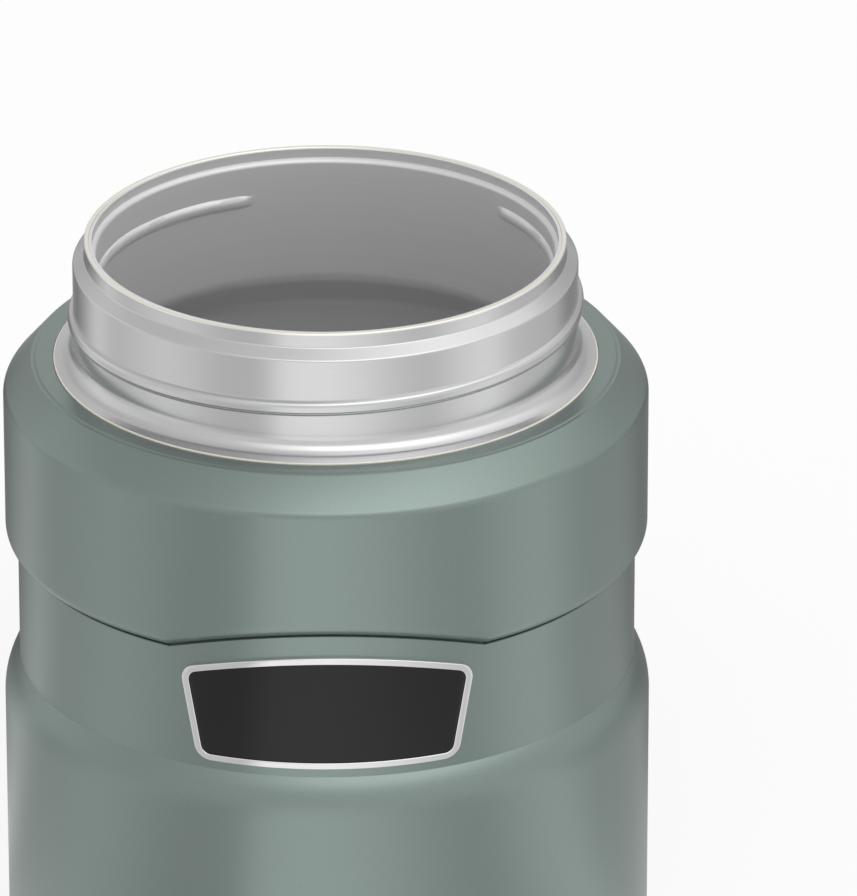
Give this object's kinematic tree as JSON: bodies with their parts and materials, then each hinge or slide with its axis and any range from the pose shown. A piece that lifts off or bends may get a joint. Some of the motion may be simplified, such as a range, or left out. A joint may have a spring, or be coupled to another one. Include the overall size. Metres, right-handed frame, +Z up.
{
  "type": "insulated food jar",
  "caption": "Open double-wall steel food jar with a threaded neck, its cup lid, screw stopper and folding spoon set down behind it.",
  "frame": {"origin": "centre of the jar's base, on the surface it stands on", "axes": "+Z up along the jar's axis and out of its mouth; the badge faces -Y; the lid stands at +Y"},
  "size_m": [0.095, 0.1815, 0.1116],
  "materials": {
    "painted_shell": "satin sage-green powder coat on steel",
    "bare_steel": "satin stainless steel, turned and polished",
    "vessel_steel": "electropolished stainless steel",
    "base_steel": "plain pressed stainless steel",
    "seal_metal": "fused seal, dull grey",
    "getter_metal": "sintered pill, dark grey",
    "copper_foil": "bright copper foil",
    "adhesive_pad": "acrylic foam tape",
    "badge_black": "black lacquered aluminium",
    "badge_frame": "polished metal frame",
    "collar_plastic": "moulded polypropylene, matt",
    "stopper_plastic": "moulded polypropylene, matt",
    "foam": "rigid insulating foam",
    "silicone": "silicone rubber, translucent grey",
    "spoon_steel": "polished stainless steel",
    "catch_steel": "spring steel leaf"
  },
  "bodies": {
    "jar": {"outer_shell": "painted_shell", "neck_sleeve": "bare_steel", "inner_vessel": "vessel_steel", "shell_bottom": "base_steel", "base_plate": "base_steel", "vacuum_seal": "seal_metal", "getter": "getter_metal", "heat_foil": "copper_foil", "badge_tape": "adhesive_pad", "badge_plate": "badge_black", "badge_bezel": "badge_frame"},
    "cup": {"cup_outer": "painted_shell", "cup_liner": "vessel_steel", "cup_collar": "collar_plastic"},
    "stopper": {"stopper_body": "stopper_plastic", "stopper_cover": "stopper_plastic", "stopper_foam": "foam", "stopper_gasket": "silicone"},
    "spoon": {"spoon_bowl": "spoon_steel"},
    "spoon_grip": {"spoon_handle": "spoon_steel", "spoon_pin": "catch_steel", "spoon_catch": "catch_steel"}
  },
  "joints": [
    {"name": "cup_lift", "type": "slide", "parent": "jar", "child": "cup", "axis": [0, 0, 1], "range_m": [0, 0.12]},
    {"name": "stopper_lift", "type": "slide", "parent": "cup", "child": "stopper", "axis": [0, 0, 1], "range_m": [0, 0.06]},
    {"name": "spoon_lift", "type": "slide", "parent": "stopper", "child": "spoon", "axis": [0, 0, 1], "range_m": [0, 0.03]},
    {"name": "spoon_fold", "type": "hinge", "parent": "spoon", "child": "spoon_grip", "pos_m": [0.0284, 0.091, 0.0545], "axis": [0, 1, 0], "range_deg": [0, 180]}
  ]
}
